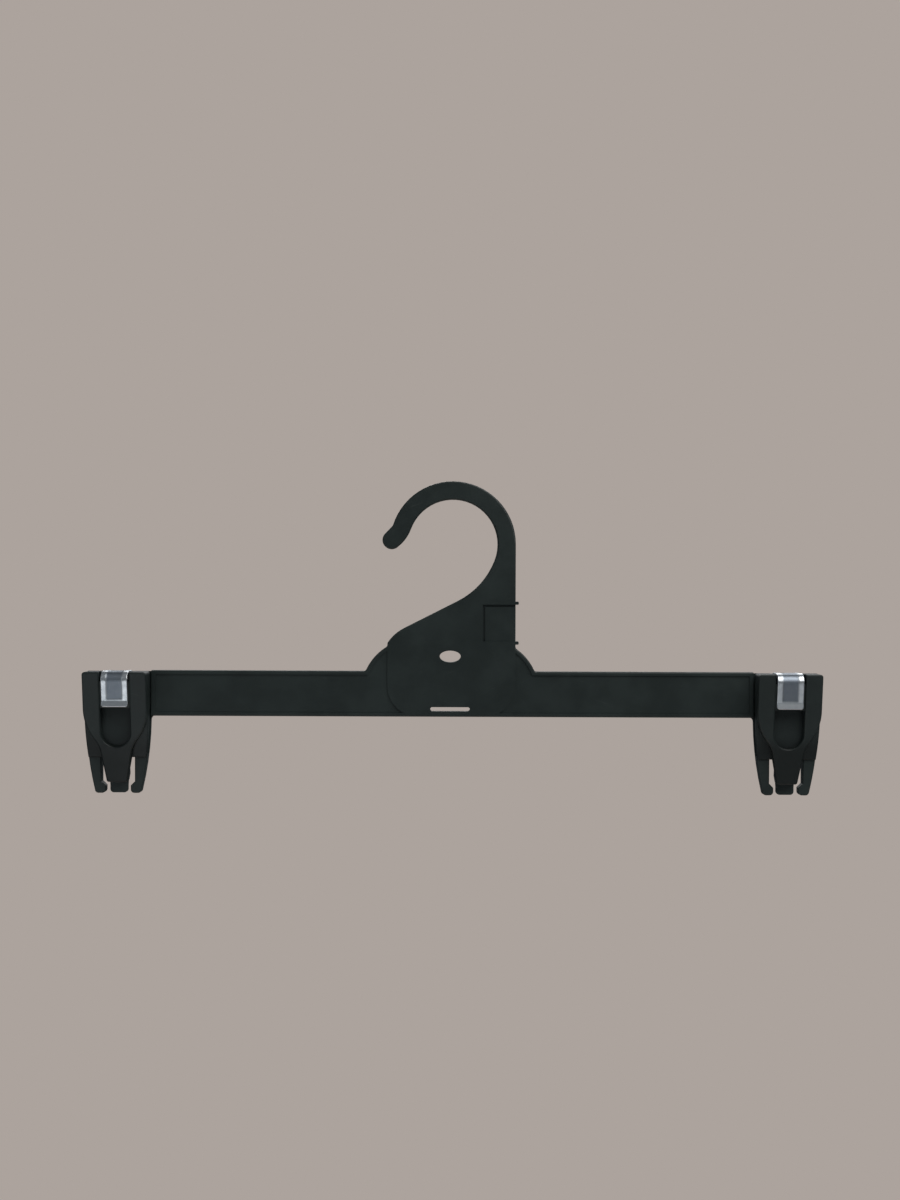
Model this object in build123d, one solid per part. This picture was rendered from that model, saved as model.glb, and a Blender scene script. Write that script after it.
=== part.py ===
from build123d import *
from math import atan, cos, degrees, radians, sin, tan
import os

# Pinch-clip hanger for trousers and skirts, in millimetres.
# X runs along the bar, Z is up and the front of the clips faces -Y.
# The origin is the centre of the hook's round, on the mid-plane of the moulding.
# One moulding holds the hook, the centre plate, the bar and both rear jaws.
# Each clip adds a front jaw, which rocks on a ridge of the rear jaw, and a
# steel strap bent over both jaws, which keeps them shut.

# ---- overall sizes ----
span = 350.0  # outer edge to outer edge of the two clips
body_t = 5.0  # depth of the moulding
bar_top = -60.9  # top edge of the bar
bar_h = 21.8  # height of the bar
edge_r = 0.8  # rounding of the moulding's outer edges
kink_r = 1.4  # rounding where one part of its outline meets the next

# ---- hook ----
rail_r = 21.45  # inside of the hook, round the rail
strip_w = 8.7  # width of the hook's strip
tip_angle = 163.0  # where the strip ends, from the neck, in degrees
ball_r = 4.35  # rounded end of the hook
ball_x = -29.4
ball_z = 1.9
flick = 45.0  # slope of the short run into the rounded end
lip_angle = 160.0  # where the inside of the hook turns out to that end

# ---- throat under the hook and left shoulder ----
throat_r = 36.5  # easier curve that follows the round of the hook
throat_from = -21.2  # where it takes over, in degrees
shoulder_slope = 27.0  # straight run down to the left
shoulder_run = 29.0
shoulder_r = 20.4  # convex turn into the side of the plate

# ---- centre plate ----
plate_x = -1.1  # middle of the plate, a little to the tip's side of the hook
plate_half = 30.1  # half width
plate_r = 15.0  # lower corners
hump_x = 17.3  # centres of the two round humps beside the plate
hump_drop = 9.8  # how far below the bar's top those centres lie
hump_r = 25.2
hole_w = 10.1  # oval hole that takes another hanger's hook
hole_h = 5.6
hole_up = 7.1  # height of its middle above the bar's top
slot_w = 19.0  # thin slot near the plate's lower edge
slot_h = 2.1
slot_up = 3.6  # height of its middle above the bar's bottom

# ---- bar section ----
flange_h = 1.8  # full-depth edge along the top and bottom of the bar
web_t = 3.8  # thinner middle of the bar

# ---- seat for a size marker, on the neck ----
seat_w = 14.6  # from the neck's edge inwards
seat_h = 17.6
seat_top = -28.9
seat_cut = 0.5  # depth of the seat in each face
groove_w = 1.1  # deeper groove along the seat's inner and upper sides
groove_cut = 1.2
lug_out = 1.5  # ridges above and below the seat, past the neck's edge
lug_h = 1.5
lug_set_in = 0.4  # of the ridges' ends from both faces
lug_r = 0.45

# ---- clip, measured from the bar's top edge and from the clip's middle ----
jaw_half = 15.2  # half width of both jaws at the top
end_gap = 0.5  # between the end of the bar and the front jaw
rear_t = 2.4  # rear jaw plate
rear_top = 0.5  # of the rear jaw, below the bar's top
rear_straight = 22.0  # level at which the rear jaw's sides start to curve in
rear_len = 58.8
rear_tip_half = 10.8  # half width of the rear jaw at its tips
rear_edge_r = 0.5
finger_from = 40.0  # level at which the outer fingers get thicker
finger_front = 3.0  # their face ahead of the mid-plane, at that level
finger_tip = 2.4  # the same at the tips
finger_edge_r = 0.6
finger_clear = 0.2  # between a finger's thick part and the middle prong's side
prong_half = 4.2  # middle prong of the rear jaw
prong_root_half = 5.4
finger_inner = 8.0  # inner edge of the two outer fingers
foot_in = 2.0  # how far their feet turn inwards
foot_h = 3.6
slots_from = 38.6  # top of the two slots between the prongs
slot_r = 0.8
tip_r = 1.7  # rounding of the three tips
crotch_r = 2.0  # corner between the bar and the rear jaw
lap = 0.5  # overlap of pieces that are joined into one
link_lap = 2.0  # of the link between bar and rear jaw over the bar's end

# ---- pivot ----
ridge_r = 2.0  # ridge across the rear jaw, on which the front jaw rocks
ridge_stand = 0.5  # its centre ahead of the rear jaw's face
pivot_drop = 11.0
pivot_gap = 0.25  # running clearance of the seat on the ridge
heel = 0.1  # back of the front jaw behind the pivot's centre
open_angle = 12.0
grip_gap = 0.2  # between the closed jaws at the tip

# ---- front jaw ----
jaw_top = 0.4  # below the bar's top
prong_show = 5.5  # of the rear jaw's middle prong, past the front jaw's tip
jaw_depth = 14.0  # front face ahead of the mid-plane, at the top
tip_depth = 5.0  # the same at the tip
jaw_wall = 1.6
face_wall = 1.8
jaw_straight = 18.0  # level at which the sides start to curve in
jaw_shoulder_r = 24.0
jaw_shoulder_turn = 38.0
jaw_waist_r = 14.0
tongue_taper = 10.0
flank_from = 14.0  # lower sides of the front jaw, set back from its face
flank_to = 41.5
flank_step = 3.0
flank_in = 0.05  # inside the sides of the pads and of the rear jaw
flank_edge_r = 0.5
jaw_corner_r = 1.5
jaw_tip_r = 1.2
jaw_edge_r = 0.7
pocket_play = 0.65  # between the strap and each finger pad
pocket_bottom = 36.2
throat_back = 3.2  # hollow between the jaws, ahead of the mid-plane
throat_upper = 19.0
grip_len = 3.8  # closed part at the tip
grip_slope = 3.0
tooth_pitch = 1.0
tooth_cut = 0.4
tooth_half = 0.32
first_tooth = 0.7  # above the tip of the front jaw
teeth = 3

# ---- spring strap ----
strap_t = 0.8
strap_w = 12.9
strap_rise = 0.0  # top of the strap above the bar's top
strap_len = 17.1  # lower ends of both legs below the bar's top
bend_r = 4.3  # outside of the two bends
strap_gap = 0.1  # play under the strap
seat_room = 0.5  # of the strap's seats, below the strap
flare_len = 3.0  # lower end of each leg, turned out
flare = 7.0
flare_r = 2.0
strap_corner_r = 1.2
strap_notch = 5.0  # both jaws are cut back this far under the bends

# ---- worked out from the sizes above ----
neck_r = rail_r + strip_w
bar_bottom = bar_top - bar_h
clip_x = span / 2 - jaw_half
bar_end = clip_x - jaw_half - end_gap
plate_left = plate_x - plate_half
plate_right = neck_r
back = body_t / 2
rear_face = back - rear_t
pivot_y = rear_face - ridge_stand
jaw_tip = rear_len - prong_show
jaw_tilt = degrees(atan((jaw_depth - tip_depth) / (jaw_tip - jaw_top)))
pocket_half = strap_w / 2 + pocket_play
first_tooth_z = -jaw_tip + first_tooth
far = 40.0  # longer than any cut has to be


def polar(radius, angle, centre=(0.0, 0.0)):
    """Point on a circle, as (x, z)."""
    a = radians(angle)
    return (centre[0] + radius * cos(a), centre[1] + radius * sin(a))


def slab(face, y_front, y_back):
    """A face drawn as seen from the front, given depth from y_front to y_back."""
    plane = Plane(origin=(0, y_back, 0), x_dir=(1, 0, 0), z_dir=(0, -1, 0))
    return extrude(plane * face, amount=y_back - y_front)


def rail(face, x_from, x_to):
    """A face drawn as (y, z) seen along the bar, drawn out from x_from to x_to."""
    plane = Plane(origin=(x_from, 0, 0), x_dir=(0, 1, 0), z_dir=(1, 0, 0))
    return extrude(plane * face, amount=x_to - x_from)


def box(x0, x1, y0, y1, z0, z1):
    """A plain block between two corners."""
    return Pos((x0 + x1) / 2, (y0 + y1) / 2, (z0 + z1) / 2) * Box(x1 - x0, y1 - y0, z1 - z0)


def outline(*pieces):
    """A closed face from lines and arcs that meet end to end."""
    return make_face(Curve() + list(pieces))


# ---------------------------------------------------------------- hanger body


def hook_and_plate():
    """Hook, neck and centre plate as one closed outline."""
    ball = (ball_x, ball_z)
    ball_out = polar(ball_r, 90 + flick, ball)
    ball_in = polar(ball_r, 270 + flick, ball)
    strip_end = polar(neck_r, tip_angle)
    lip = polar(rail_r, lip_angle)
    throat_c = polar(throat_r - rail_r, throat_from + 180)
    run_start = polar(throat_r, shoulder_slope - 90, throat_c)
    run_end = (
        run_start[0] - shoulder_run * cos(radians(shoulder_slope)),
        run_start[1] - shoulder_run * sin(radians(shoulder_slope)),
    )
    shoulder_c = polar(shoulder_r, shoulder_slope - 90, run_end)
    side_turn = 180 - degrees(atan(tan_of_side(shoulder_c)))
    side = polar(shoulder_r, side_turn, shoulder_c)
    corner_z = bar_bottom + plate_r
    return outline(
        Line((plate_left + plate_r, bar_bottom), (plate_right - plate_r, bar_bottom)),
        CenterArc((plate_right - plate_r, corner_z), plate_r, 270, 90),
        Line((plate_right, corner_z), (plate_right, 0)),
        CenterArc((0, 0), neck_r, 0, tip_angle),
        Line(strip_end, ball_out),
        CenterArc(ball, ball_r, 90 + flick, 180),
        TangentArc(lip, ball_in, tangent=(-sin(radians(lip_angle)), cos(radians(lip_angle)))),
        CenterArc((0, 0), rail_r, throat_from, lip_angle - throat_from),
        CenterArc(throat_c, throat_r, shoulder_slope - 90, throat_from - shoulder_slope + 90),
        Line(run_start, run_end),
        CenterArc(shoulder_c, shoulder_r, shoulder_slope + 90, side_turn - shoulder_slope - 90),
        Line(side, (plate_left, corner_z)),
        CenterArc((plate_left + plate_r, corner_z), plate_r, 180, 90),
    )


def tan_of_side(centre):
    """Slope at which the shoulder's curve reaches the plate's left side."""
    run = centre[0] - plate_left
    return (shoulder_r**2 - run**2) ** 0.5 / run


def bar_outline(inset=0.0):
    """Bar with the two humps that run up to the centre plate, made smaller by `inset`."""
    middle = bar_top - bar_h / 2
    bar = Pos(0, middle) * Rectangle(2 * (bar_end - inset), bar_h - 2 * inset)
    for side in (-1, 1):
        hump = Pos(plate_x + side * hump_x, bar_top - hump_drop) * Circle(hump_r - inset)
        above = Pos(plate_x, middle + hump_r) * Rectangle(2 * (hump_x + hump_r), 2 * hump_r)
        bar += hump & above
    return bar


def marker_seat(face_y):
    """Cuts for the size marker's seat in one face of the neck, at y = face_y."""
    inward = -1 if face_y > 0 else 1
    inner = plate_right - seat_w
    low = seat_top - seat_h
    y0, y1 = sorted((face_y, face_y + inward * seat_cut))
    past = plate_right + lap
    seat = box(inner, past, y0, y1, low, seat_top)
    y0, y1 = sorted((face_y, face_y + inward * groove_cut))
    seat += box(inner - groove_w, inner, y0, y1, low, seat_top)
    seat += box(inner - groove_w, past, y0, y1, seat_top - groove_w, seat_top)
    return seat


def lug(middle_z):
    """Small ridge that stands out past the neck's edge."""
    start = plate_right - 2 * lug_out
    side = back - lug_set_in
    low = middle_z - lug_h / 2
    block = box(start, plate_right + lug_out, -side, side, low, low + lug_h)
    outer = block.edges().filter_by(Axis.Y).sort_by(Axis.X)[-2:]
    return fillet(outer, lug_r)


def kinks(face):
    """Corners of a face where its outline changes direction."""
    found = []
    for v in face.vertices():
        at = v.center()
        away = []
        for e in face.edges():
            if (e.position_at(0) - at).length < 1e-4:
                away.append(e.tangent_at(0))
            elif (e.position_at(1) - at).length < 1e-4:
                away.append(-e.tangent_at(1))
        if len(away) == 2 and away[0].get_angle(away[1]) < 177:
            found.append(v)
    return found


def moulding():
    """Hook, plate and bar, with the bar's middle cut thinner from both sides."""
    plate = hook_and_plate()
    bar = bar_outline()
    whole = plate + bar
    inside = [v for v in kinks(whole) if abs(v.X) < bar_end - lap]
    solid = slab(fillet(inside, kink_r), -back, back)
    rims = [e for e in solid.edges() if abs(abs(e.center().Y) - back) < 1e-4]
    rims = [e for e in rims if abs(e.center().X) < bar_end - edge_r]
    solid = fillet(rims, edge_r)
    web = bar_outline(flange_h) - plate
    cut = (body_t - web_t) / 2
    solid -= slab(web, -back, -back + cut)
    solid -= slab(web, back - cut, back)
    solid -= slab(Pos(plate_x, bar_top + hole_up) * Ellipse(hole_w / 2, hole_h / 2), -far, far)
    solid -= slab(Pos(plate_x, bar_bottom + slot_up) * SlotOverall(slot_w, slot_h), -far, far)
    solid -= marker_seat(-back)
    solid -= marker_seat(back)
    solid += lug(seat_top + lug_h / 2)
    solid += lug(seat_top - seat_h - lug_h / 2)
    return solid


def rear_outline(inset=0.0):
    """Rear jaw without its slots: straight sides, then a long curve to the tips."""
    drop = rear_len - rear_straight
    half_turn = atan((jaw_half - rear_tip_half) / drop)
    radius = drop / sin(2 * half_turn)
    turn = degrees(2 * half_turn)
    centre = jaw_half - radius
    half = jaw_half - inset
    tip_half = rear_tip_half - inset * cos(2 * half_turn)
    low = -rear_straight - (radius - inset) * sin(2 * half_turn)
    return outline(
        Line((-half, -rear_top), (half, -rear_top)),
        Line((half, -rear_top), (half, -rear_straight)),
        CenterArc((centre, -rear_straight), radius - inset, -turn, turn),
        Line((tip_half, low), (-tip_half, low)),
        CenterArc((-centre, -rear_straight), radius - inset, 180, turn),
        Line((-half, -rear_straight), (-half, -rear_top)),
    )


def rear_slot(side):
    """Open slot between the middle prong and one outer finger."""
    foot_top = -rear_len + foot_h
    x = finger_inner - foot_in
    corners = [
        (side * prong_root_half, -slots_from),
        (side * finger_inner, -slots_from),
        (side * finger_inner, foot_top + foot_in),
        (side * x, foot_top),
        (side * x, -rear_len - lap),
        (side * prong_half, -rear_len - lap),
        (side * prong_half, foot_top),
    ]
    slot = make_face(Polyline(*corners, close=True))
    top = slot.vertices().sort_by(Axis.Y)[-2:]
    return fillet(top, slot_r)


def rear_plan():
    """Rear jaw as seen from the front, with slots, spring notch and round tips."""
    plan = rear_outline()
    for side in (-1, 1):
        plan -= rear_slot(side)
    plan -= Pos(0, -strap_notch / 2) * Rectangle(2 * pocket_half, strap_notch)
    tips = plan.vertices().filter_by(lambda v: abs(v.Y + rear_len) < 1e-3)
    return fillet(tips, tip_r)


def thick_fingers(plan):
    """Outer fingers of the rear jaw, thicker towards the front below the front jaw's flanks."""
    side = [
        (rear_face, -finger_from),
        (-finger_front, -finger_from),
        (-finger_tip, -rear_len),
        (rear_face, -rear_len),
    ]
    wedge = rail(make_face(Polyline(*side, close=True)), -far, far)
    middle = 2 * (prong_root_half + finger_clear)
    outer = plan - Pos(0, -rear_len / 2) * Rectangle(middle, 2 * rear_len)
    fingers = slab(outer, -far, rear_face) & wedge
    lean = (finger_front - finger_tip) / (rear_len - finger_from)
    ends = (0.0, 0.5, 1.0)
    rim = [e for e in fingers.edges() if all(is_on_finger_face(e.position_at(t), lean) for t in ends)]
    return fillet(rim, finger_edge_r)


def is_on_finger_face(point, lean):
    """True for a point on the sloped face of the thick fingers."""
    return abs(point.Y + finger_front - lean * (-finger_from - point.Z)) < 1e-3


def rear_jaw():
    """Rear jaw in the clip's own place, with its pivot ridge and thick fingers."""
    plan = rear_plan()
    jaw = slab(plan, rear_face, back)
    edges = jaw.edges().filter_by(lambda e: abs(e.center().Y - back) < 1e-4)
    jaw = fillet(edges, rear_edge_r)
    jaw += thick_fingers(plan)
    jaw += Pos(0, pivot_y, -pivot_drop) * Rot(0, 90, 0) * Cylinder(ridge_r, 2 * jaw_half)
    leg_front = back - strap_t - strap_gap
    jaw -= box(-pocket_half, pocket_half, leg_front, far, -strap_len - seat_room, far)
    for i in range(teeth):
        jaw -= tooth(rear_face, first_tooth_z + tooth_pitch * i, -1)
    return jaw


def tooth(y_face, z, out):
    """V-shaped groove across a grip face that looks towards `out` along Y."""
    deep = y_face - out * tooth_cut
    past = y_face + out * tooth_cut
    vee = Polyline((past, z - 2 * tooth_half), (deep, z), (past, z + 2 * tooth_half), close=True)
    return rail(make_face(vee), -prong_root_half, prong_root_half)


def crotch(side):
    """Rounded corner under the bar where it meets the rear jaw, from the clip's middle."""
    x = -side * (jaw_half - lap)
    z = -bar_h
    reach = crotch_r + lap
    x0, x1 = sorted((x, x - side * reach))
    block = box(x0, x1, rear_face, back - rear_edge_r, z - crotch_r, z + lap)
    cut = Pos(x - side * reach, 0, z - crotch_r) * Rot(90, 0, 0) * Cylinder(crotch_r, far)
    return block - cut


def link(side):
    """Full-height joint between the bar's end and the rear jaw, from the clip's middle."""
    x0, x1 = sorted((-side * (jaw_half - lap), -side * (jaw_half + end_gap + link_lap)))
    return box(x0, x1, rear_face, back - edge_r, -bar_h + edge_r, -edge_r)


def hanger_body():
    """The whole moulding."""
    body = moulding()
    for side in (-1, 1):
        body += Pos(side * clip_x, 0, bar_top) * (rear_jaw() + link(side) + crotch(side))
    return body


# ---------------------------------------------------------------- front jaw


def front_outline(inset=0.0):
    """Front jaw: straight sides, round shoulders, waist and tapering tongue."""
    turn = jaw_shoulder_turn
    taper = tongue_taper
    top = -jaw_top - inset
    low = -jaw_tip
    shoulder_c = (jaw_half - jaw_shoulder_r, -jaw_straight)
    waist_c = polar(jaw_shoulder_r + jaw_waist_r, -turn, shoulder_c)
    outer_r = jaw_shoulder_r - inset
    inner_r = jaw_waist_r + inset
    waist = polar(inner_r, 180 - taper, waist_c)
    tip_half = waist[0] - (waist[1] - low) * tan(radians(taper))
    half = jaw_half - inset
    right = [
        Line((0, top), (half, top)),
        Line((half, top), (half, -jaw_straight)),
        CenterArc(shoulder_c, outer_r, -turn, turn),
        CenterArc(waist_c, inner_r, 180 - turn, turn - taper),
        Line(waist, (tip_half, low)),
        Line((tip_half, low), (0, low)),
    ]
    left = [mirror(piece, about=Plane.YZ) for piece in right]
    return outline(*right, *left)


def flanks():
    """Lower sides of the front jaw, set back from the pads and as wide as the rear jaw."""
    band = Pos(0, -(flank_from + flank_to) / 2) * Rectangle(4 * jaw_half, flank_to - flank_from)
    plan = (rear_outline(flank_in) & band) - front_outline(jaw_wall)
    sides = slab(plan, -far, -throat_back) & behind_front(flank_step)
    return fillet(sides.edges().filter_by(is_flank_rim), flank_edge_r)


def is_flank_rim(edge):
    """True for the outer front edges of the flanks."""
    at = edge.center()
    step = flank_step / cos(radians(jaw_tilt))
    on_face = abs(at.Y - front_y(at.Z) - step) < 1e-3
    return on_face and abs(at.X) > jaw_half - 2 * flank_step and edge.length > flank_step


def pocket_outline(grow=0.0):
    """Round-bottomed gap between the finger pads, made larger by `grow`."""
    half = pocket_half + grow
    round_z = -(pocket_bottom - pocket_half)
    tall = Pos(0, (far + round_z) / 2) * Rectangle(2 * half, far - round_z)
    return tall + Pos(0, round_z) * Circle(half)


def front_y(z):
    """Depth of the front jaw's face at height z below the bar's top."""
    return -jaw_depth + (-jaw_top - z) * tan(radians(jaw_tilt))


def behind_front(inset):
    """Half-space behind the front jaw's face, moved back by `inset`."""
    step = inset / cos(radians(jaw_tilt))
    high = far
    low = -2 * far
    side = [
        (front_y(high) + step, high),
        (front_y(low) + step, low),
        (far, low),
        (far, high),
    ]
    return rail(make_face(Polyline(*side, close=True)), -far, far)


def side_profile():
    """Front jaw seen along the bar: sloped face, heel, throat and grip."""
    heel_y = pivot_y + heel
    top = -jaw_top
    low = -jaw_tip
    lean = (pivot_drop - jaw_top) * tan(radians(open_angle))
    grip_y = rear_face - grip_gap
    points = [
        (front_y(top), top),
        (front_y(low), low),
        (grip_y, low),
        (grip_y, low + grip_len),
        (-throat_back, low + grip_len + grip_slope),
        (-throat_back, -throat_upper),
        (heel_y, -throat_upper + grip_slope),
        (heel_y, -pivot_drop),
        (heel_y - lean, top),
    ]
    return make_face(Polyline(*points, close=True))


def front_jaw():
    """Front jaw in the clip's own place: x from its middle, z from the bar's top."""
    plan = front_outline()
    corners = plan.vertices().sort_by(Axis.Y)
    plan = fillet(corners[-2:], jaw_corner_r)
    corners = plan.vertices().sort_by(Axis.Y)
    plan = fillet(corners[:2], jaw_tip_r)
    jaw = slab(plan, -far, far) & rail(side_profile(), -far, far)
    # spring channel, deep pocket below it and the gap above the spring's seat
    seat_low = -strap_len - seat_room
    pocket = slab(pocket_outline(), -far, -throat_back - jaw_wall)
    deep = pocket & box(-far, far, -far, far, -2 * far, seat_low)
    channel = slab(pocket_outline(), -far, far) & box(-far, far, -far, far, seat_low, far)
    channel -= behind_front(strap_t + strap_gap)
    gap = box(-pocket_half, pocket_half, -far, far, -strap_notch, far)
    jaw -= deep
    jaw -= channel
    jaw -= gap
    front_edges = jaw.edges().filter_by(on_front_face)
    jaw = fillet(front_edges, jaw_edge_r)
    # hollow back of the two pads and of the tongue
    shell = front_outline(jaw_wall) - pocket_outline(jaw_wall)
    hollow = slab(shell, -far, far) & behind_front(face_wall)
    tip_solid = -jaw_tip + grip_len + grip_slope
    hollow -= box(-far, far, -far, far, -2 * far, tip_solid)
    jaw -= hollow
    jaw += flanks()
    # open back of the spring's seat
    under = slab(pocket_outline(), -far, far) & behind_front(strap_t + strap_gap + face_wall)
    under &= box(-far, far, -far, far, seat_low + jaw_wall, far)
    jaw -= under
    pivot = Pos(0, pivot_y, -pivot_drop) * Rot(0, 90, 0) * Cylinder(ridge_r + pivot_gap, 4 * jaw_half)
    jaw -= pivot
    for i in range(teeth):
        jaw -= tooth(rear_face - grip_gap, first_tooth_z + tooth_pitch * i, 1)
    return jaw


def on_front_face(edge):
    """True for an edge that lies in the front jaw's sloped face."""
    ends = [edge.position_at(t) for t in (0.0, 0.5, 1.0)]
    return all(abs(p.Y - front_y(p.Z)) < 1e-3 for p in ends)


# ---------------------------------------------------------------- spring


def spring():
    """Strap bent over both jaws, legs down, in the clip's own place."""
    tilt = radians(jaw_tilt)
    half = strap_t / 2
    top_z = strap_rise - half
    shift = half / cos(tilt)
    low_z = -strap_len + flare_len
    front_low = (front_y(low_z) + shift, low_z)
    out = tilt - radians(flare)
    front_end = (front_low[0] + flare_len * sin(out), front_low[1] - flare_len * cos(out))
    rear_y = back - half
    rear_end = (rear_y + flare_len * sin(radians(flare)), low_z - flare_len * cos(radians(flare)))
    route = [
        front_end,
        front_low,
        (front_y(top_z) + shift, top_z),
        (rear_y, top_z),
        (rear_y, low_z),
        rear_end,
    ]
    mid_r = bend_r - half
    line = FilletPolyline(*route, radius=[flare_r, mid_r, mid_r, flare_r])
    strip = trace(line, line_width=strap_t)
    strap = rail(strip, -strap_w / 2, strap_w / 2)
    return fillet(strap.edges().filter_by(is_strap_corner), strap_corner_r)


def is_strap_corner(edge):
    """True for the four short edges at the corners of the strap's two ends."""
    at = edge.center()
    low = at.Z < -strap_len + flare_len / 2
    outside = abs(abs(at.X) - strap_w / 2) < 1e-3
    return low and outside and edge.length < 2 * strap_t


# ---------------------------------------------------------------- output


def main():
    os.makedirs("parts", exist_ok=True)
    export_step(hanger_body(), "parts/hanger_body.step")
    for name, side in (("left", -1), ("right", 1)):
        place = Pos(side * clip_x, 0, bar_top)
        export_step(place * front_jaw(), f"parts/{name}_front_jaw.step")
        export_step(place * spring(), f"parts/{name}_spring.step")


main()
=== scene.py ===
import bpy
from math import cos, pi, radians, sin
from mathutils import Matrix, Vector


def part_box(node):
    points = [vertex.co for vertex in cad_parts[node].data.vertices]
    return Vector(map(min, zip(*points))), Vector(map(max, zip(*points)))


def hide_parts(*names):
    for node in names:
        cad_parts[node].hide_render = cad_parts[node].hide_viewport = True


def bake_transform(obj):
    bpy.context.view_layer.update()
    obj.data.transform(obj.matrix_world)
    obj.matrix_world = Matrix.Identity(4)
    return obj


# Looks for a moulded pinch-clip hanger. Everything is in metres, in the frame's own axes:
# X along the bar, Z up, -Y towards the front, origin at the centre of the hook's round.

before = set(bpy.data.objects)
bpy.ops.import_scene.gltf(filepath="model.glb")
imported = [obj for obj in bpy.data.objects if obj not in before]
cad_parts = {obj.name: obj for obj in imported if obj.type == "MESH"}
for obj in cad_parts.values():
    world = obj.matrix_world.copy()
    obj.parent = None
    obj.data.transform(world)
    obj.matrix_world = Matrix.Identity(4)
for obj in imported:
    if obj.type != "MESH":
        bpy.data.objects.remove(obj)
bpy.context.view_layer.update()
MM = 0.001

# ---------------------------------------------------------------- node helpers


def node(tree, kind, inputs=None, **settings):
    """A node with its settings; each input is a value or the socket that feeds it."""
    made = tree.nodes.new(kind)
    for name, value in settings.items():
        setattr(made, name, value)
    for name, value in (inputs or {}).items():
        if isinstance(value, bpy.types.NodeSocket):
            tree.links.new(value, made.inputs[name])
        else:
            made.inputs[name].default_value = value
    return made


def calc(tree, operation, *values, clamp=False):
    """One step of arithmetic on numbers and sockets."""
    made = node(tree, "ShaderNodeMath", dict(enumerate(values)), operation=operation, use_clamp=clamp)
    return made.outputs[0]


def vector(tree, operation, *values):
    """One step of vector arithmetic."""
    return node(tree, "ShaderNodeVectorMath", dict(enumerate(values)), operation=operation).outputs["Vector"]


def split(tree, arrow):
    """The X, Y and Z of an arrow."""
    return node(tree, "ShaderNodeSeparateXYZ", {0: arrow}).outputs


def scaled(tree, arrow, length):
    """An arrow times a number or socket."""
    return node(tree, "ShaderNodeVectorMath", {0: arrow, "Scale": length}, operation="SCALE").outputs[0]


def ramp(tree, value, low, high, start=0.0, end=1.0):
    """A soft step of `value`, from `start` at `low` to `end` at `high`."""
    inputs = {"Value": value, "From Min": low, "From Max": high, "To Min": start, "To Max": end}
    return node(tree, "ShaderNodeMapRange", inputs, interpolation_type="SMOOTHSTEP").outputs["Result"]


def tint(tree, factor, under, over):
    """Colour `under`, going over to `over` where the factor is 1."""
    pair = [c if isinstance(c, bpy.types.NodeSocket) else (*c, 1.0) for c in (under, over)]
    made = node(tree, "ShaderNodeMix", {0: factor, 6: pair[0], 7: pair[1]}, data_type="RGBA")
    return made.outputs[2]


def noise(tree, place, scale, detail=2.0, rough=0.5):
    """A noise between 0 and 1."""
    inputs = {"Vector": place, "Scale": scale, "Detail": detail, "Roughness": rough}
    return node(tree, "ShaderNodeTexNoise", inputs).outputs["Fac"]


def open_group(name, kind, given, results):
    """A node group with named inputs, {name: (socket kind, default)}, and outputs, {name: socket kind}."""
    tree = bpy.data.node_groups.new(name, kind)
    for label, (socket, default) in given.items():
        made = tree.interface.new_socket(label, in_out="INPUT", socket_type=socket)
        if default is not None:
            made.default_value = default
    for label, socket in results.items():
        tree.interface.new_socket(label, in_out="OUTPUT", socket_type=socket)
    return tree, tree.nodes.new("NodeGroupInput").outputs, tree.nodes.new("NodeGroupOutput").inputs


# ---------------------------------------------------------------- effects shared by the materials


def moulded_grain():
    """Fine spark-eroded grain on slow waves, as a mould and its cooling leave them."""
    given = {
        "Place": ("NodeSocketVector", None),
        "Grain Size": ("NodeSocketFloat", 0.25 * MM),
        "Wave Size": ("NodeSocketFloat", 9 * MM),
        "Wave Height": ("NodeSocketFloat", 1.5),
    }
    tree, get, put = open_group(
        "moulded_grain", "ShaderNodeTree", given, {"Height": "NodeSocketFloat", "Patch": "NodeSocketFloat"}
    )
    fine = noise(tree, get["Place"], calc(tree, "DIVIDE", 1.0, get["Grain Size"]), 2.0, 0.6)
    wave = noise(tree, get["Place"], calc(tree, "DIVIDE", 1.0, get["Wave Size"]), 1.0, 0.4)
    cloud = noise(tree, get["Place"], calc(tree, "DIVIDE", 0.4, get["Wave Size"]), 4.0, 0.62)
    tree.links.new(calc(tree, "MULTIPLY_ADD", wave, get["Wave Height"], fine), put["Height"])
    tree.links.new(ramp(tree, cloud, 0.35, 0.65), put["Patch"])
    return tree


def rub_marks():
    """Hair scratches in two directions, kept to patches."""
    given = {
        "Place": ("NodeSocketVector", None),
        "Stretch": ("NodeSocketVector", (60.0, 1500.0, 1500.0)),
        "Amount": ("NodeSocketFloat", 0.5),
    }
    tree, get, put = open_group("rub_marks", "ShaderNodeTree", given, {"Mask": "NodeSocketFloat"})
    lines = []
    for turn in (-14, 22):
        turned = node(tree, "ShaderNodeVectorRotate", {"Vector": get["Place"], "Angle": radians(turn)},
                      rotation_type="Y_AXIS")
        streaks = noise(tree, vector(tree, "MULTIPLY", turned.outputs[0], get["Stretch"]), 1.0, 2.0, 0.7)
        lines.append(ramp(tree, streaks, 0.66, 0.76))
    patch = ramp(tree, noise(tree, get["Place"], 110.0, 3.0), 0.42, 0.68)
    kept = calc(tree, "MULTIPLY", calc(tree, "MAXIMUM", *lines), patch)
    tree.links.new(calc(tree, "MULTIPLY", kept, get["Amount"], clamp=True), put["Mask"])
    return tree


GRAIN = moulded_grain()
RUBS = rub_marks()

# ---------------------------------------------------------------- materials


def open_material(name):
    """A material, its node tree, its Principled shader and the piece's Object coordinates."""
    material = bpy.data.materials.new(name)
    material.use_nodes = True
    tree = material.node_tree
    return material, tree, tree.nodes["Principled BSDF"], node(tree, "ShaderNodeTexCoord").outputs["Object"]


JAW_SHADE_BLACK = (0.004, 0.0065, 0.0065)  # painted shade: the deeper black the jaw is darkened to below its finger pads
PARTING_HALF = 0.04 * MM  # half width of the parting line's crest
PARTING_FADE = 0.1 * MM


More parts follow.
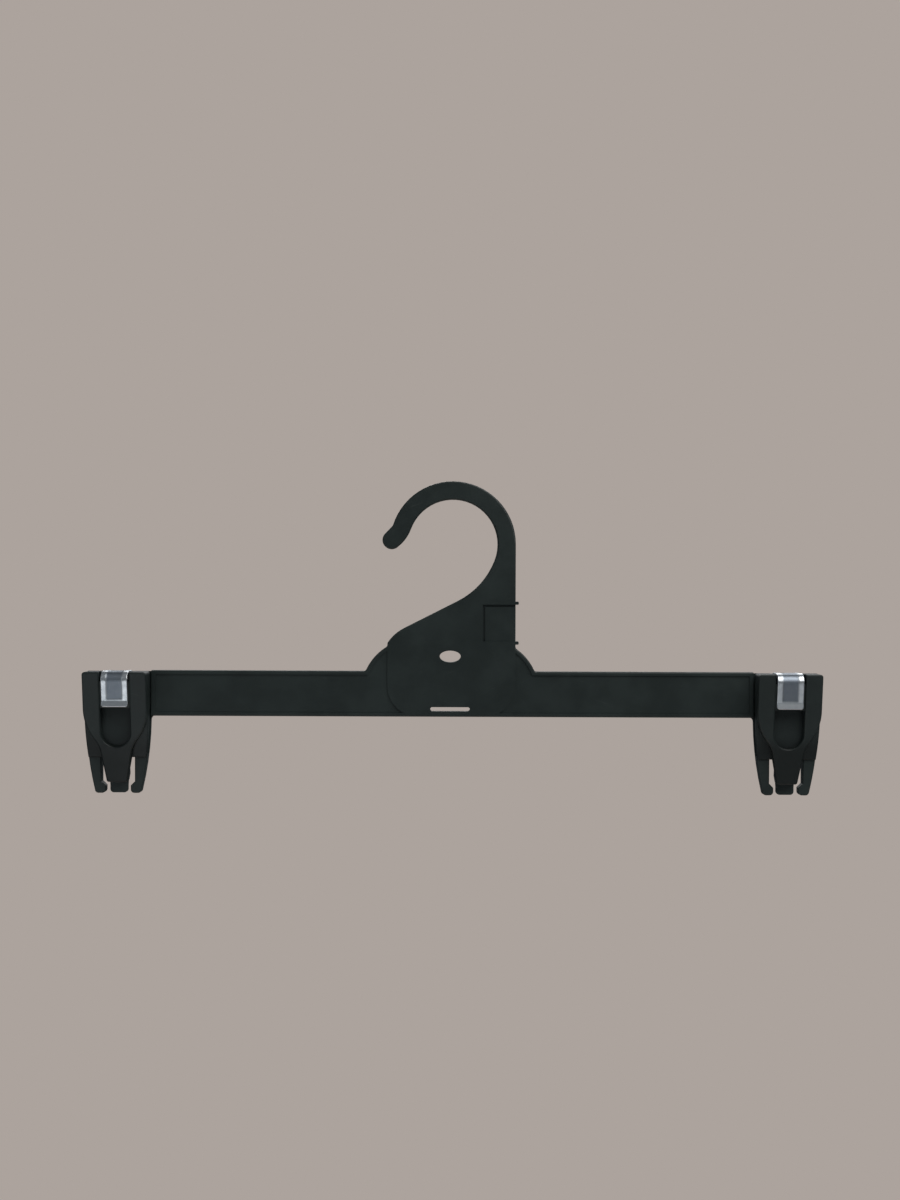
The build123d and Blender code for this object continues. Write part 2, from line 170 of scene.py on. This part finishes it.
def moulded_plastic(name, base, worn, rough, parting=None, shade_levels=None):
    """Black satin moulding with grain, clouding and hair scratches.

    `parting` is the depth of its parting line, and the last argument the two heights between which
    painted shade darkens it from its own black to a deeper black towards the bottom.
    """
    material, tree, shader, place = open_material(name)
    grain = node(tree, "ShaderNodeGroup", {"Place": place}, node_tree=GRAIN).outputs
    rubs = node(tree, "ShaderNodeGroup", {"Place": place, "Amount": 0.55}, node_tree=RUBS).outputs["Mask"]
    shader.inputs["Specular IOR Level"].default_value = 0.38
    colour = tint(tree, grain["Patch"], base, [1.3 * c for c in base])
    colour = tint(tree, rubs, colour, worn)
    # Painted shade: below the finger pads the jaw's colour goes to a deeper black, standing in for the shade
    # down the jaw.
    if shade_levels is not None:
        painted_shade = ramp(tree, split(tree, place)["Z"], *shade_levels, 0.75, 0.0)
        colour = tint(tree, painted_shade, colour, JAW_SHADE_BLACK)
    tree.links.new(colour, shader.inputs["Base Color"])
    satin = calc(tree, "MULTIPLY_ADD", grain["Patch"], 0.07, rough)
    tree.links.new(calc(tree, "MULTIPLY_ADD", rubs, 0.12, satin), shader.inputs["Roughness"])
    height = grain["Height"]
    if parting is not None:
        off = calc(tree, "ABSOLUTE", calc(tree, "SUBTRACT", split(tree, place)["Y"], parting))
        line = ramp(tree, off, PARTING_HALF, PARTING_HALF + PARTING_FADE, 2.5, 0.0)
        height = calc(tree, "ADD", height, line)
    bump = node(tree, "ShaderNodeBump", {"Strength": 0.5, "Distance": 0.02 * MM, "Height": height})
    tree.links.new(bump.outputs["Normal"], shader.inputs["Normal"])
    return material


STEEL_BRIGHT = (0.86, 0.89, 0.92)
STEEL_CLOUDY = (0.72, 0.76, 0.80)
STEEL_PANEL_SHADE = (0.19, 0.225, 0.275)  # painted shade: the pressed panel's dark look, standing in for the dim room it mirrors
STEEL_RUBBED = (0.78, 0.79, 0.81)


def spring_steel(name):
    """Bright rolled strip: fine lines along the strap, clouding, rubs and a rougher pressed panel painted
    dark as shade.
    """
    material, tree, shader, place = open_material(name)
    shader.inputs["Metallic"].default_value = 1.0
    panel = node(tree, "ShaderNodeAttribute", attribute_name="panel").outputs["Fac"]
    rolled = noise(tree, vector(tree, "MULTIPLY", place, (9000.0, 60.0, 60.0)), 1.0, 3.0)
    cloud = noise(tree, place, 260.0, 4.0)
    rubbed = {"Place": place, "Stretch": (1800.0, 90.0, 90.0), "Amount": 0.5}
    rubs = node(tree, "ShaderNodeGroup", rubbed, node_tree=RUBS).outputs["Mask"]
    colour = tint(tree, ramp(tree, cloud, 0.35, 0.7), STEEL_BRIGHT, STEEL_CLOUDY)
    # Painted shade: the pressed panel is tinted dark for the dim room its sunk floor mirrors.
    colour = tint(tree, calc(tree, "MULTIPLY", panel, 0.85), colour, STEEL_PANEL_SHADE)
    colour = tint(tree, rubs, colour, STEEL_RUBBED)
    tree.links.new(colour, shader.inputs["Base Color"])
    dull = calc(tree, "MULTIPLY_ADD", cloud, 0.14, 0.27)
    tree.links.new(calc(tree, "MULTIPLY_ADD", panel, 0.1, dull), shader.inputs["Roughness"])
    height = calc(tree, "MULTIPLY_ADD", rubs, -0.6, rolled)
    bump = node(tree, "ShaderNodeBump", {"Strength": 0.15, "Distance": 0.01 * MM, "Height": height})
    tree.links.new(bump.outputs["Normal"], shader.inputs["Normal"])
    return material


FLOOR_TONES = (0.86, 0.755, 0.69), (0.90, 0.79, 0.725)


def pale_floor():
    """Matt pale studio floor with a faint mottle."""
    material, tree, shader, place = open_material("pale_floor")
    colour = tint(tree, noise(tree, place, 6.0, 4.0), *FLOOR_TONES)
    tree.links.new(colour, shader.inputs["Base Color"])
    shader.inputs["Roughness"].default_value = 0.85
    return material


# ---------------------------------------------------------------- spring straps

STRAP_T = 0.8 * MM
STRAP_LEN = 17.1 * MM  # both legs, below the bar's top
STRAP_RISE = 0.0 * MM  # above the bar's top
BEND_R = 4.3 * MM  # outside of the two bends
FLARE_LEN = 3.0 * MM  # lower end of each leg, turned out
FLARE = radians(7)
FLARE_R = 2.0 * MM
REAR_FACE = 2.5 * MM  # back of the rear jaw
JAW_DEPTH = 14.0 * MM  # face of the front jaw at its top, ahead of the middle
TIP_DEPTH = 5.0 * MM  # the same at its tip
JAW_TOP = 0.4 * MM
JAW_TIP = 53.3 * MM  # both below the bar's top
BEND_STEPS = 16  # points round each bend


def pressed_strap():
    """A strap laid along a bent route: rolled edges, round corners and a sunk panel down its middle."""
    given = {
        "Route": ("NodeSocketGeometry", None),
        "Width": ("NodeSocketFloat", 12.7 * MM),
        "Thickness": ("NodeSocketFloat", STRAP_T),
        "Corner Radius": ("NodeSocketFloat", 1.3 * MM),
        "Panel Width": ("NodeSocketFloat", 6.4 * MM),
        "Panel Depth": ("NodeSocketFloat", 0.15 * MM),
        "Panel Slope": ("NodeSocketFloat", 1.0 * MM),
        "Panel End": ("NodeSocketFloat", 3.3 * MM),
        "Columns": ("NodeSocketInt", 61),
        "Rows": ("NodeSocketInt", 151),
        "Steel": ("NodeSocketMaterial", None),
    }
    tree, get, put = open_group("pressed_strap", "GeometryNodeTree", given, {"Strap": "NodeSocketGeometry"})
    corner = node(tree, "GeometryNodeInputRadius").outputs[0]
    bends = {"Curve": get["Route"], "Count": BEND_STEPS, "Radius": corner}
    line = node(tree, "GeometryNodeFilletCurve", bends, mode="POLY").outputs[0]
    total = node(tree, "GeometryNodeCurveLength", {0: line}).outputs[0]
    grid = node(tree, "GeometryNodeMeshGrid", {
        "Size X": 1.0, "Size Y": 1.0, "Vertices X": get["Columns"], "Vertices Y": get["Rows"],
    }).outputs["Mesh"]
    spot = split(tree, node(tree, "GeometryNodeInputPosition").outputs[0])
    # Rows and columns crowd towards the edges, where the round is.
    across = calc(tree, "SINE", calc(tree, "MULTIPLY", spot["X"], pi))
    part = calc(tree, "MULTIPLY_ADD", calc(tree, "SINE", calc(tree, "MULTIPLY", spot["Y"], pi)), 0.5, 0.5)
    along = calc(tree, "MULTIPLY", part, total)
    at = node(tree, "GeometryNodeSampleCurve", {"Curves": line, "Length": along}, mode="LENGTH").outputs
    outward = vector(tree, "CROSS_PRODUCT", (1.0, 0.0, 0.0), at["Tangent"])
    from_end = calc(tree, "MINIMUM", along, calc(tree, "SUBTRACT", total, along))
    halved = ("Width", "Thickness", "Panel Width")
    get_half = {label: calc(tree, "MULTIPLY", get[label], 0.5) for label in halved}

    def round_off(distance, radius):
        """How far a quarter round of `radius` has dropped at `distance` from its edge."""
        left = calc(tree, "MAXIMUM", calc(tree, "SUBTRACT", radius, distance), 0.0)
        all_square = calc(tree, "MULTIPLY", radius, radius)
        square = calc(tree, "SUBTRACT", all_square, calc(tree, "MULTIPLY", left, left))
        return calc(tree, "SUBTRACT", radius, calc(tree, "SQRT", calc(tree, "MAXIMUM", square, 0.0)))

    half = calc(tree, "SUBTRACT", get_half["Width"], round_off(from_end, get["Corner Radius"]))
    side = calc(tree, "MULTIPLY", across, half)
    from_side = calc(tree, "SUBTRACT", half, calc(tree, "ABSOLUTE", side))
    from_edge = calc(tree, "MINIMUM", from_side, from_end)
    rise = calc(tree, "SUBTRACT", get_half["Thickness"], round_off(from_edge, get_half["Thickness"]))
    panel_out = calc(tree, "ADD", get_half["Panel Width"], get["Panel Slope"])
    wide = ramp(tree, calc(tree, "ABSOLUTE", side), get_half["Panel Width"], panel_out, 1.0, 0.0)
    panel_in = calc(tree, "ADD", get["Panel End"], get["Panel Slope"])
    panel = calc(tree, "MULTIPLY", wide, ramp(tree, from_end, get["Panel End"], panel_in))
    middle = vector(tree, "ADD", at["Position"], node(tree, "ShaderNodeCombineXYZ", {"X": side}).outputs[0])
    sunk = calc(tree, "SUBTRACT", rise, calc(tree, "MULTIPLY", panel, get["Panel Depth"]))
    mark = {"Geometry": grid, "Name": "panel", "Value": panel}
    marked = node(tree, "GeometryNodeStoreNamedAttribute", mark, data_type="FLOAT", domain="POINT").outputs[0]
    outer = node(tree, "GeometryNodeSetPosition", {
        "Geometry": marked, "Position": vector(tree, "ADD", middle, scaled(tree, outward, sunk)),
    }).outputs[0]
    inner = node(tree, "GeometryNodeSetPosition", {
        "Geometry": grid, "Position": vector(tree, "SUBTRACT", middle, scaled(tree, outward, rise)),
    }).outputs[0]
    inner = node(tree, "GeometryNodeFlipFaces", {"Mesh": inner}).outputs[0]
    both = node(tree, "GeometryNodeJoinGeometry")
    tree.links.new(outer, both.inputs[0])
    tree.links.new(inner, both.inputs[0])
    seam = {"Geometry": both.outputs[0], "Distance": 0.001 * MM}
    closed = node(tree, "GeometryNodeMergeByDistance", seam).outputs[0]
    even = node(tree, "GeometryNodeSetShadeSmooth", {"Geometry": closed}).outputs[0]
    real = node(tree, "GeometryNodeRealizeInstances", {"Geometry": even}).outputs[0]
    steel = node(tree, "GeometryNodeSetMaterial", {"Geometry": real, "Material": get["Steel"]}).outputs[0]
    tree.links.new(steel, put["Strap"])
    return tree


def run_tree(name, tree, source, **values):
    """The mesh that a tree makes from a source object, as a plain object with no modifier."""
    bpy.context.scene.collection.objects.link(source)
    modifier = source.modifiers.new(tree.name, "NODES")
    modifier.node_group = tree
    for item in tree.interface.items_tree:
        if item.in_out == "INPUT" and item.name in values:
            modifier[item.identifier] = values[item.name]
    seen = source.evaluated_get(bpy.context.evaluated_depsgraph_get())
    mesh = bpy.data.meshes.new_from_object(seen)
    bpy.data.objects.remove(source)
    piece = bpy.data.objects.new(name, mesh)
    bpy.context.scene.collection.objects.link(piece)
    return piece


def strap_route(side):
    """Middle line of one strap, from the front leg's end over the top to the rear leg's end."""
    low, high = (Vector(corner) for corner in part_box(f"{side}_spring"))
    middle = (low.x + high.x) / 2
    bar_top = high.z - STRAP_RISE
    slope = (JAW_DEPTH - TIP_DEPTH) / (JAW_TIP - JAW_TOP)
    half = STRAP_T / 2
    ahead = half * (1 + slope**2) ** 0.5

    def face(level):
        """Middle of the front leg's thickness, that far below the bar's top."""
        return -JAW_DEPTH + (level - JAW_TOP) * slope + ahead

    bend = STRAP_LEN - FLARE_LEN
    out, down = FLARE_LEN * sin(FLARE), FLARE_LEN * cos(FLARE)
    corners = [
        (face(bend) - out, bar_top - bend - down, 0.0),
        (face(bend), bar_top - bend, FLARE_R),
        (face(-STRAP_RISE + half), bar_top + STRAP_RISE - half, BEND_R - half),
        (REAR_FACE - half, bar_top + STRAP_RISE - half, BEND_R - half),
        (REAR_FACE - half, bar_top - bend, FLARE_R),
        (REAR_FACE - half + out, bar_top - bend - down, 0.0),
    ]
    curve = bpy.data.curves.new(f"{side}_strap_route", "CURVE")
    curve.dimensions = "3D"
    spline = curve.splines.new("POLY")
    spline.points.add(len(corners) - 1)
    for point, (y, z, radius) in zip(spline.points, corners):
        point.co = (middle, y, z, 1.0)
        point.radius = radius
    return bpy.data.objects.new(f"{side}_strap_route", curve), middle, bar_top


BAR_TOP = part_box("left_spring")[1][2] - STRAP_RISE
JAW_SHADE_LEVELS = (BAR_TOP - 38.0 * MM, BAR_TOP - 28.0 * MM)  # the finger pads end between these two levels; below them the jaw is painted darker as shade
BODY_BLACK = (0.0185, 0.0265, 0.0255)
JAW_BLACK = (0.0180, 0.0250, 0.0245)
SCRATCHED = (0.050, 0.060, 0.058)
PLASTIC = moulded_plastic("moulded_plastic", BODY_BLACK, SCRATCHED, 0.40, parting=0.0)
JAW_PLASTIC = moulded_plastic("jaw_plastic", JAW_BLACK, SCRATCHED, 0.38, shade_levels=JAW_SHADE_LEVELS)
STEEL = spring_steel("spring_steel")

for name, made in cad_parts.items():
    if "spring" not in name:
        made.data.materials.clear()
        made.data.materials.append(JAW_PLASTIC if "jaw" in name else PLASTIC)

STRAP = pressed_strap()
for side in ("left", "right"):
    route, middle, bar_top = strap_route(side)
    strap = run_tree(f"{side}_strap", STRAP, route, Steel=STEEL)
    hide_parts(f"{side}_spring")
    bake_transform(strap)

# ---------------------------------------------------------------- floor, light and camera

FLOOR_RADIUS = 0.7
FLOOR_HEIGHT = -0.6
BACKDROP = (0.413, 0.366, 0.337, 1.0)
ROOM_LOW = (0.055, 0.062, 0.066)
ROOM_HIGH = (0.10, 0.11, 0.118)
VIEW_FROM = 0.75  # from the eye to the hanger's middle plane
VIEW_HEIGHT = 0.5761  # height of the frame at that plane
VIEW_ROLL = 0.22  # degrees
EYE_X = -0.0013
EYE_Z = -0.02674


def round_floor(radius, height, material, sides=96):
    """A flat disc under the hanger."""
    turns = [2 * pi * i / sides for i in range(sides)]
    ring = [(radius * cos(turn), radius * sin(turn), height) for turn in turns]
    mesh = bpy.data.meshes.new("floor")
    mesh.from_pydata(ring, [], [tuple(range(sides))])
    mesh.materials.append(material)
    made = bpy.data.objects.new("floor", mesh)
    bpy.context.scene.collection.objects.link(made)


def soft_light(name, place, target, size, watts, colour):
    """A large rectangular light turned to face a point."""
    data = bpy.data.lights.new(name, "AREA")
    data.shape = "RECTANGLE"
    data.size, data.size_y = size
    data.energy = watts
    data.color = colour
    made = bpy.data.objects.new(name, data)
    made.location = place
    made.rotation_euler = (Vector(target) - Vector(place)).to_track_quat("-Z", "Y").to_euler()
    bpy.context.scene.collection.objects.link(made)


def studio_world():
    """Warm grey backdrop; the room that lights and mirrors in the hanger is dimmer and cooler."""
    world = bpy.data.worlds.new("studio")
    world.use_nodes = True
    tree = world.node_tree
    tree.nodes.clear()
    up = split(tree, node(tree, "ShaderNodeTexCoord").outputs["Generated"])["Z"]
    room = tint(tree, ramp(tree, up, -0.5, 0.6), ROOM_LOW, ROOM_HIGH)
    lighting = node(tree, "ShaderNodeBackground", {"Color": room}).outputs[0]
    backdrop = node(tree, "ShaderNodeBackground", {"Color": BACKDROP}).outputs[0]
    seen = node(tree, "ShaderNodeLightPath").outputs["Is Camera Ray"]
    either = node(tree, "ShaderNodeMixShader", {0: seen, 1: lighting, 2: backdrop}).outputs[0]
    node(tree, "ShaderNodeOutputWorld", {"Surface": either})
    bpy.context.scene.world = world


studio_world()
bpy.context.scene.view_settings.view_transform = "Standard"

round_floor(FLOOR_RADIUS, FLOOR_HEIGHT, pale_floor())

# The key comes from the upper right and the fill from the left. The two low lights are the pale
# strips that the straps' sloped faces mirror, and the back light is for the rear of the hanger.
WARM, COOL, PALE, WHITE = (1.0, 0.99, 0.97), (0.90, 0.96, 1.0), (0.93, 0.97, 1.0), (1.0, 1.0, 1.0)
for light in (
    # name, place, target, size, watts, colour
    ("key", (0.50, -0.60, 0.75), (0.0, 0.0, -0.03), (1.0, 0.8), 7.4, WARM),
    ("fill", (-0.85, -0.65, 0.15), (0.0, 0.0, -0.07), (0.5, 0.8), 0.6, COOL),
    ("low_left", (-0.36, -0.85, -0.42), (-0.16, 0.0, -0.07), (0.45, 0.30), 0.50, PALE),
    ("low_right", (0.36, -0.85, -0.42), (0.16, 0.0, -0.07), (0.45, 0.30), 0.18, PALE),
    ("back", (0.1, 0.8, 0.5), (0.0, 0.0, -0.05), (1.0, 0.5), 3.5, WHITE),
):
    soft_light(*light)

camera = bpy.data.cameras.new("camera")
camera.lens = camera.sensor_width * VIEW_FROM / VIEW_HEIGHT
eye = bpy.data.objects.new("camera", camera)
eye.location = (EYE_X, -VIEW_FROM, EYE_Z)
eye.rotation_euler = (radians(90), radians(-VIEW_ROLL), 0)
bpy.context.scene.collection.objects.link(eye)
bpy.context.scene.camera = eye
